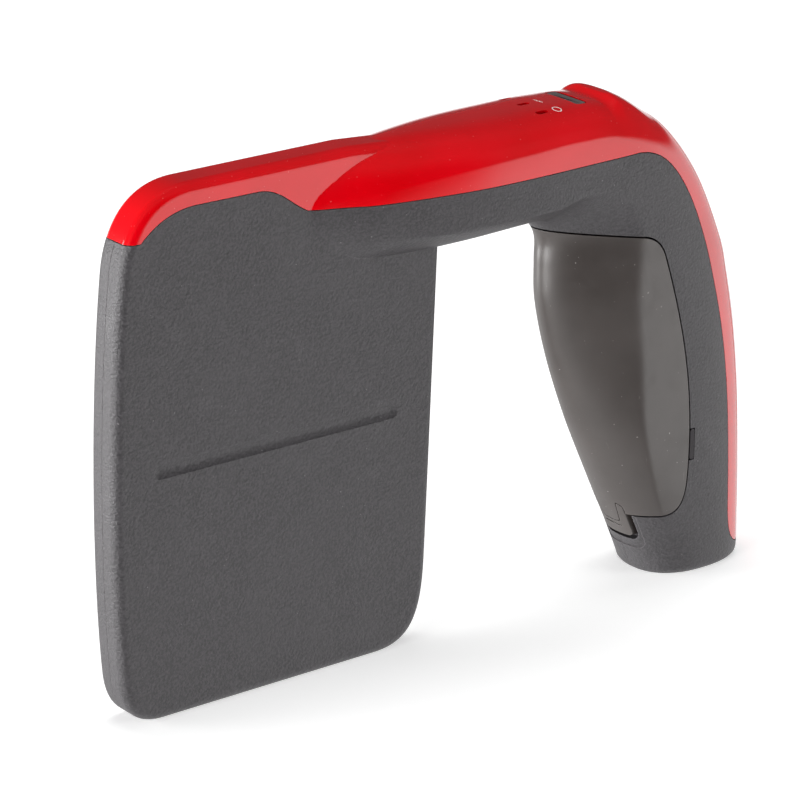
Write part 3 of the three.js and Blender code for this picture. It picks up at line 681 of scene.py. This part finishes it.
key = drawn("scan_key_cap", key_slot(-0.05),
            [(151.5, 1.35), (152.3, 1.35), (152.4, 0), (KEY["top"] - 0.5, 0),
             (KEY["top"] - 0.15, -0.12), (KEY["top"], -0.4), (KEY["top"] - 0.12, -0.75),
             (KEY["top"] - 0.28, -1.2), (KEY["top"] - 0.34, -1.6)], upright)
fitted(smooth(key, 50), gloss, "scan_key", "key", "scan_key")

rubber = Finish("black_rubber", Specular_IOR_Level=0.3)
bloom = rubber.noise(4, detail=4)
rubber.set(Base_Color=rubber.mix(rubber.fade(bloom, 0.4, 0.7), tint(30, 30, 30), tint(52, 51, 50)),
           Roughness=0.75 + 0.15 * bloom, Normal=rubber.bump(rubber.noise(0.25), 0.02, 0.4))


def coat(finish, *nodes):
    """A piece that is carried over as it is gets its real finish."""
    for name in nodes:
        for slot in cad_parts[name].material_slots:
            slot.material = finish.material


coat(rubber, "key_seal")


# ---------------------------------------------------------------- light pipes and marks
# Three smoked light pipes stand in slots ahead of the key, over lamps on the board. A small mark
# is printed in white behind each, and the marks are plain signs: a ring, a spark and two waves.
smoke = Finish("smoked_lens", Coat_Weight=0.6, IOR=1.49)
haze = smoke.noise(1.2, detail=3)
smoke.set(Base_Color=smoke.mix(haze, tint(34, 20, 22), tint(62, 46, 46)),
          Roughness=0.14 + 0.2 * haze, Normal=smoke.bump(haze, 0.01, 0.2))
for i, y in enumerate(LAMP_ROWS, 1):
    lens = drawn(f"light_pipe_{i}", lamp_slot(y, 0),
                 [(BOARD_TOP + 2, 0), (LAMP["top"] - 0.5, 0), (LAMP["top"] - 0.2, -0.1),
                  (LAMP["top"] - 0.05, -0.3), (LAMP["top"], -0.5)], upright)
    fitted(smooth(lens, 50), smoke, "reader", "lens", f"lamp_lens_{i}")

glow = Finish("lamp_package", Coat_Weight=0.3)
ceramic = glow.noise(0.5, detail=3)
window = glow.fade(glow.cells(1.1), 0.2, 0.5)
glow.set(Base_Color=glow.mix(window, tint(236, 214, 120),
                             glow.mix(ceramic, tint(222, 220, 212), tint(242, 240, 234))),
         Roughness=0.3 + 0.2 * ceramic, Normal=glow.bump(ceramic, 0.01, 0.3))
coat(glow, "lamp_1", "lamp_2", "lamp_3")

ink = Finish("white_ink", Specular_IOR_Level=0.4)
screen = ink.noise(0.12, detail=2)
ink.set(Base_Color=ink.mix(ink.fade(screen, 0.3, 0.7), tint(216, 208, 206), tint(240, 236, 234)),
        Roughness=0.45 + 0.2 * screen, Normal=ink.bump(screen, 0.01, 0.3))
MARKS = {
    "ring": [[(1.25 * math.cos(a), 1.5 * math.sin(a)) for a in np.linspace(0, 2 * math.pi, 33)]],
    "spark": [[(0.2, -1.9), (-0.1, -0.7), (0.45, -0.3), (-0.45, 0.3), (0.1, 0.7), (-0.2, 1.9)]],
    "waves": [[(-1.0 + 0.5 * k + 0.55 * math.cos(a), 1.3 * math.sin(a))
               for a in np.linspace(-1, 1, 13)] for k in (0, 2)],
}


def printed(name, strokes, x, y):
    """Strokes laid on the cover, following its surface."""
    width, sunk, raised = 0.3, 0.05, 0.03
    eyes = cover.evaluated_get(bpy.context.evaluated_depsgraph_get())
    points, faces = [], []
    for stroke in strokes:
        path = [Vector((x + u, y + v)) for u, v in stroke]
        start = len(points)
        for i, here in enumerate(path):
            ahead = (path[min(i + 1, len(path) - 1)] - path[max(i - 1, 0)]).normalized()
            aside = Vector((-ahead.y, ahead.x)) * width / 2
            for spot in (here + aside, here - aside):
                above = Vector(((spot.x + SHIFT) * MM, spot.y * MM, 0.2))
                level = eyes.ray_cast(above, Vector((0, 0, -1)))[1].z / MM
                points += [(spot.x, spot.y, level - sunk), (spot.x, spot.y, level + raised)]
        for i in range(len(path) - 1):
            a, b = start + 4 * i, start + 4 * (i + 1)
            faces += [(a + 1, a + 3, b + 3, b + 1), (a, b, b + 2, a + 2),
                      (a, a + 1, b + 1, b), (a + 2, b + 2, b + 3, a + 3)]
        last = start + 4 * (len(path) - 1)
        faces += [(start, start + 2, start + 3, start + 1), (last, last + 1, last + 3, last + 2)]
    return solid_of(name, points, faces)


for (name, strokes), y in zip(MARKS.items(), reversed(LAMP_ROWS)):
    fitted(printed(f"mark_{name}", strokes, LAMP["x"] - 5.6, y), ink, "reader", "lens")


# ---------------------------------------------------------------- main board and what it carries
# A green board hangs from the cover's pillars on three screws. It carries the key's switch, the
# lamps, the processor, the radio under its shield can, the wireless module and the beeper.
circuit = Finish("solder_mask", Coat_Weight=0.4, Coat_Roughness=0.2)
tracks = circuit.fade(circuit.cells(2.2, "DISTANCE_TO_EDGE"), 0.05, 0.09)
pads = circuit.fade(circuit.cells(1.3), 0.16, 0.2)
mask_cloud = circuit.noise(6, detail=3)
mask = circuit.mix(mask_cloud, tint(14, 66, 38), tint(24, 86, 50))
mask = circuit.mix(1 - tracks, mask, tint(38, 112, 66))
circuit.set(Base_Color=circuit.mix(1 - pads, mask, tint(206, 176, 108)), Metallic=(1 - pads) * 0.8,
            Roughness=0.32 + 0.15 * mask_cloud, Normal=circuit.bump(pads + tracks, 0.03, 0.5))
resin = Finish("chip_resin", Specular_IOR_Level=0.4)
filler = resin.noise(0.3, detail=4)
resin.set(Base_Color=resin.mix(filler, tint(24, 24, 26), tint(42, 42, 44)),
          Roughness=0.5 + 0.2 * filler,
          Normal=resin.bump(filler, 0.01, 0.4, resin.soft_edges(0.15)))
brass = Finish("gold_plate", Metallic=1.0)
plated = brass.noise(0.6, detail=3)
brass.set(Base_Color=brass.mix(plated, tint(214, 178, 96), tint(236, 206, 130)),
          Roughness=0.2 + 0.16 * plated, Normal=brass.bump(plated, 0.01, 0.3))
coat(circuit, "main_board", "contact_board", "pack_board", "antenna_board")
coat(resin, "radio_chip", "processor", "key_switch")
coat(steel, "radio_shield", "wireless_module", "feed_shield",
     "board_screw_1", "board_screw_2", "board_screw_3")
coat(brass, "coax_socket", "feed_socket",
     "contact_pin_1", "contact_pin_2", "contact_pin_3", "contact_pin_4")

satin = Finish("dark_satin_plastic", Specular_IOR_Level=0.2)
flow = satin.noise(3, detail=4, rough=0.6)
fine = satin.noise(0.3, detail=2)
edge = satin.worn_edges(0.2)
satin.set(Base_Color=satin.mix(edge * 0.3, satin.mix(flow, tint(34, 31, 34), tint(50, 46, 49)),
                               tint(96, 92, 94)),
          Roughness=0.34 + 0.2 * flow, Normal=satin.bump(fine, 0.015, 0.4, satin.soft_edges(0.15)))
coat(satin, "beeper", "contact_block")


# ---------------------------------------------------------------- antenna and cables
# The paddle holds the antenna: a board with a copper loop, its feed under a small shield, a foam
# spacer behind it, and a thin coaxial cable from the main board. A flat bundle of wires runs from
# the main board to the contacts.
copper = Finish("copper_foil", Metallic=1.0)
oxide = copper.fade(copper.noise(7, detail=5), 0.4, 0.7)
rolled = copper.noise(1.2, detail=3, stretch=(1, 1, 8))
copper.set(Base_Color=copper.mix(oxide, tint(214, 140, 96), tint(156, 92, 62)),
           Roughness=0.26 + 0.2 * rolled, Normal=copper.bump(rolled, 0.01, 0.3))
foam = Finish("black_foam", Specular_IOR_Level=0.2)
bubbles = foam.cells(0.9)
foam.set(Base_Color=foam.mix(foam.fade(bubbles, 0.1, 0.6), tint(30, 30, 31), tint(74, 74, 76)),
         Roughness=0.85 + 0.1 * bubbles, Normal=foam.bump(bubbles, 0.3, 0.8))
jacket = Finish("cable_jacket", Specular_IOR_Level=0.4)
bend = jacket.noise(2, detail=3)
jacket.set(Base_Color=jacket.mix(bend, tint(34, 34, 36), tint(58, 58, 60)),
           Roughness=0.4 + 0.2 * bend, Normal=jacket.bump(jacket.noise(0.4, detail=2), 0.02, 0.4))
coat(copper, "antenna_loop")
coat(foam, "spacer_foam")
coat(jacket, "antenna_coax", "contact_cable")


# ---------------------------------------------------------------- battery pack
# The pack fills the front of the grip: a warmer grey case moulded smoother than the housings, a
# back plate welded in, two lugs that ride in the housings' seam, two wrapped cells and a board.
PACK_WALL, PACK_FLOOR = 1.8, 29
PLATE = {"bottom": 24, "top": 108, "thick": 2.2}
warm = Finish("smooth_warm_plastic", Specular_IOR_Level=0.8)
satin_grain = warm.noise(0.35, detail=2)
cloud = warm.noise(18, detail=4, rough=0.55)
handling = warm.fade(warm.noise(12, detail=5, rough=0.6, warp=0.8), 0.5, 0.7)
scratch = warm.fade(warm.noise(0.8, detail=3, rough=0.7, stretch=(0.5, 1.2, 0.06)), 0.7, 0.74)
specks = warm.fade(warm.noise(0.7, detail=0), 0.86, 0.88)
edge = warm.worn_edges(0.4)
colour = warm.mix(warm.fade(cloud, 0.3, 0.7), tint(50, 43, 40), tint(57, 50, 47))
colour = warm.mix(edge * 0.35, colour, tint(134, 128, 124))
colour = warm.mix(specks * 0.5 + scratch * 0.08, colour, tint(178, 172, 168))
warm.set(Base_Color=colour, Roughness=0.37 + 0.1 * satin_grain + 0.06 * handling - 0.05 * scratch,
         Normal=warm.bump(satin_grain - 0.5 * scratch, 0.02, 0.45, warm.soft_edges(0.25)))


def ahead_of_back(name, distance):
    return drawn(name, [(x + distance, z) for x, z in pack_line], [(-SIDE, 0), (SIDE, 0)])


def tongue(name, grow):
    """The case reaches down between the arms of the latch, tapering."""
    line = outline((-4.9, 28), (-3.7, 19.4), ((-3.5, 18.6), (-2.7, 18.6)), (2.7, 18.6),
                   ((3.5, 18.6), (3.7, 19.4)), (4.9, 28), fine=6)
    return drawn(name, line, [(LATCH_FROM, grow), (LATCH_TO, grow)], along)


def skin_of(name, deep):
    return cut(same(outside, name), handle("under_skin", deep, around=96, step=2))


pack_body = within(same(outside, "pack_body"), pack_form("pack_seam"))
pack_room = within(handle("pack_room", PACK_WALL), pack_form("pack_inside", -PACK_WALL))
within(pack_room, block("over_floor", (-PADDLE_FRONT, -SIDE, PACK_FLOOR), (0, SIDE, TOP)))


def plate_span(gap):
    return block("span", (-95, -SIDE, PLATE["bottom"] - gap), (-62, SIDE, PLATE["top"] + gap))


plate = within(same(pack_body, "pack_back_plate"), plate_span(0))
within(plate, handle("between_walls", PACK_WALL + GAP))
cut(plate, ahead_of_back("plate_front", PLATE["thick"]))
plate_room = within(handle("plate_room", PACK_WALL), plate_span(GAP))
cut(plate_room, ahead_of_back("room_front", PLATE["thick"] + GAP))
case = cut(pack_body, pack_room, plate_room, tab("tab_pocket", GAP, LATCH["deep"]))
join(case, within(skin_of("tongue_skin", LATCH["thick"]), tongue("tongue", 0)))
case.name = "battery_case_moulding"
fitted(smooth(case), warm, "battery_pack", "pack", "battery_case")
fitted(smooth(plate), warm, "battery_pack", "pack", "battery_back_plate")

for side, way in (("left", 1), ("right", -1)):
    line = rounded((GUIDE["from"] + GUIDE["to"]) / 2, (GUIDE["bottom"] + GUIDE["top"]) / 2,
                   GUIDE["to"] - GUIDE["from"], GUIDE["top"] - GUIDE["bottom"], 0.75)
    lug = drawn(f"guide_lug_{side}_moulding", line,
                sorted([(way * GUIDE["inside"], 0), (way * SIDE, 0)]))
    within(lug, handle("flush", 0.0, around=144, step=1.2))
    fitted(smooth(lug), satin, "battery_pack", "lug", f"guide_lug_{side}")

wrap = Finish("cell_wrap", Coat_Weight=0.5, Coat_Roughness=0.1)
crinkle = wrap.noise(3.5, detail=4, stretch=(1, 1, 0.4))
band = wrap.fade(wrap.noise(16, detail=1), 0.45, 0.5)
wrap.set(Base_Color=wrap.mix(band, wrap.mix(crinkle, tint(40, 92, 156), tint(58, 116, 182)),
                             tint(34, 76, 134)),
         Roughness=0.28 + 0.15 * crinkle, Normal=wrap.bump(crinkle, 0.15, 0.5))
coat(wrap, "cell_rear", "cell_front")


# ---------------------------------------------------------------- battery latch
# A U-shaped tab at the foot of the pack straddles the case's tongue. It springs out of its recess
# and is pressed in to let the pack go, and its bar has a grip line under the tongue.
latch = within(skin_of("battery_latch_tab", LATCH["thick"]), tab("tab", 0))
cut(latch, tongue("fork", 0.3))
bar = rounded(0, 17.0, 7.6, 0.55, 0.25, fine=4)
cut(latch, cut(drawn("grip_line", bar, [(LATCH_FROM, 0), (LATCH_TO, 0)], along),
               handle("line_depth", 0.55, around=96, step=2)))
fitted(smooth(latch), warm, "battery_latch", "pack", "battery_latch")
discard(outside, room)


# ---------------------------------------------------------------- studio
# A plain pale paper table, four soft area lights, and walls whose brightness changes with
# direction. Two lights stand low at the paddle's end, one overhead, one beyond the grip.
REACH = 2400
ground = drawn("floor", [(-REACH, -REACH), (REACH, -REACH), (REACH, REACH), (-REACH, REACH)],
               [(-4, 0), (-0.05, 0)], upright)
paper = Finish("pale_paper", Specular_IOR_Level=0.2, Emission_Strength=0.6)
fibre = paper.noise(3, detail=3)
sheet = paper.mix(fibre, tint(228, 228, 228), tint(234, 234, 234))
paper.set(Base_Color=sheet, Emission_Color=sheet, Roughness=0.85 + 0.1 * fibre,
          Normal=paper.bump(fibre, 0.05, 0.1))
ground.data.materials.append(paper.material)
ground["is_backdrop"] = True


def softbox(name, place, aim, size, power):
    lamp = bpy.data.lights.new(name, "AREA")
    lamp.shape = "RECTANGLE"
    lamp.size, lamp.size_y = size
    lamp.energy = power
    holder = bpy.data.objects.new(name, lamp)
    holder.location = place
    holder.rotation_euler = (Vector(aim) - Vector(place)).to_track_quat("-Z", "Y").to_euler()
    bpy.context.scene.collection.objects.link(holder)
    return holder


centre = (0.0, 0.0, 0.08)
overhead = softbox("overhead", (-0.1, -0.3, 2.0), centre, (1.2, 0.8), 20)
softbox("left_end", (1.75, -1.2, 0.15), centre, (1.0, 1.0), 56)
softbox("left_front", (1.95, 0.5, 0.1), centre, (0.8, 1.2), 56)
right_fill = softbox("right_fill", (-1.2, 1.5, 0.7), centre, (0.9, 0.9), 12)

# What the reader mirrors: walls that are bright below the horizon and dark above it, with a dark
# gap in front of the left side, so that the satin faces show their curves. The table, the overhead
# light and the light beyond the grip are left out of what it mirrors.
for unmirrored in (overhead, right_fill, ground):
    unmirrored.visible_glossy = False
world = bpy.data.worlds.new("studio_walls")
bpy.context.scene.world = world
world.use_nodes = True
sky = world.node_tree


def sky_node(kind, settings, sockets):
    made = sky.nodes.new("ShaderNode" + kind)
    for setting, value in settings.items():
        setattr(made, setting, value)
    for socket, value in sockets.items():
        if isinstance(value, bpy.types.NodeSocket):
            sky.links.new(value, made.inputs[socket])
        else:
            made.inputs[socket].default_value = value
    return made


def toward(direction, start, end, low, high):
    """A brightness that changes with how nearly a ray goes one way."""
    share = sky_node("VectorMath", {"operation": "DOT_PRODUCT"},
                     {0: heading, 1: direction}).outputs["Value"]
    sockets = {"Value": share, "From Min": start, "From Max": end, "To Min": low, "To Max": high}
    return sky_node("MapRange", {"interpolation_type": "SMOOTHSTEP"}, sockets).outputs[0]


rays = sky_node("LightPath", {}, {})
heading = sky_node("TexCoord", {}, {}).outputs["Generated"]
shade = toward((0.25, 0.97, 0.0), 0.55, 0.95, 2.2, 0.02)                # the gap
for share in (toward((0.0, 0.0, 1.0), -0.02, 0.08, 1.0, 0.08),          # above the reader
              toward((0.0, 0.0, -1.0), 0.42, 0.75, 1.0, 0.6),           # under it
              toward((-0.6, -0.8, 0.0), 0.2, 0.9, 1.0, 0.45)):          # the far corner
    shade = sky_node("Math", {"operation": "MULTIPLY"}, {0: shade, 1: share}).outputs[0]
fill = toward((-0.2, 0.6, 0.77), -0.4, 0.9, 0.06, 0.24)
BACKDROP = (0.97, 0.97, 0.97, 1)
for ray, light in (("Is Diffuse Ray", fill), ("Is Camera Ray", BACKDROP)):
    choice = sky_node("Mix", {"data_type": "RGBA"}, {0: rays.outputs[ray], 6: shade, 7: light})
    shade = choice.outputs[2]
sky.links.new(shade, sky.nodes["Background"].inputs["Color"])

lens = bpy.data.cameras.new("camera")
lens.lens = 177.75
lens.sensor_width = 36
lens.clip_start, lens.clip_end = 0.05, 20
camera = bpy.data.objects.new("camera", lens)
camera.location = (0.6758 + SHIFT * MM, 0.8711, 0.4808)
aim = Vector((0.0146 + SHIFT * MM, 0, 0.07625))
camera.rotation_mode = "QUATERNION"
camera.rotation_quaternion = (aim - camera.location).to_track_quat("-Z", "Y")
bpy.context.scene.collection.objects.link(camera)
bpy.context.scene.camera = camera
bpy.context.scene.view_settings.view_transform = "Standard"

low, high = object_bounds()
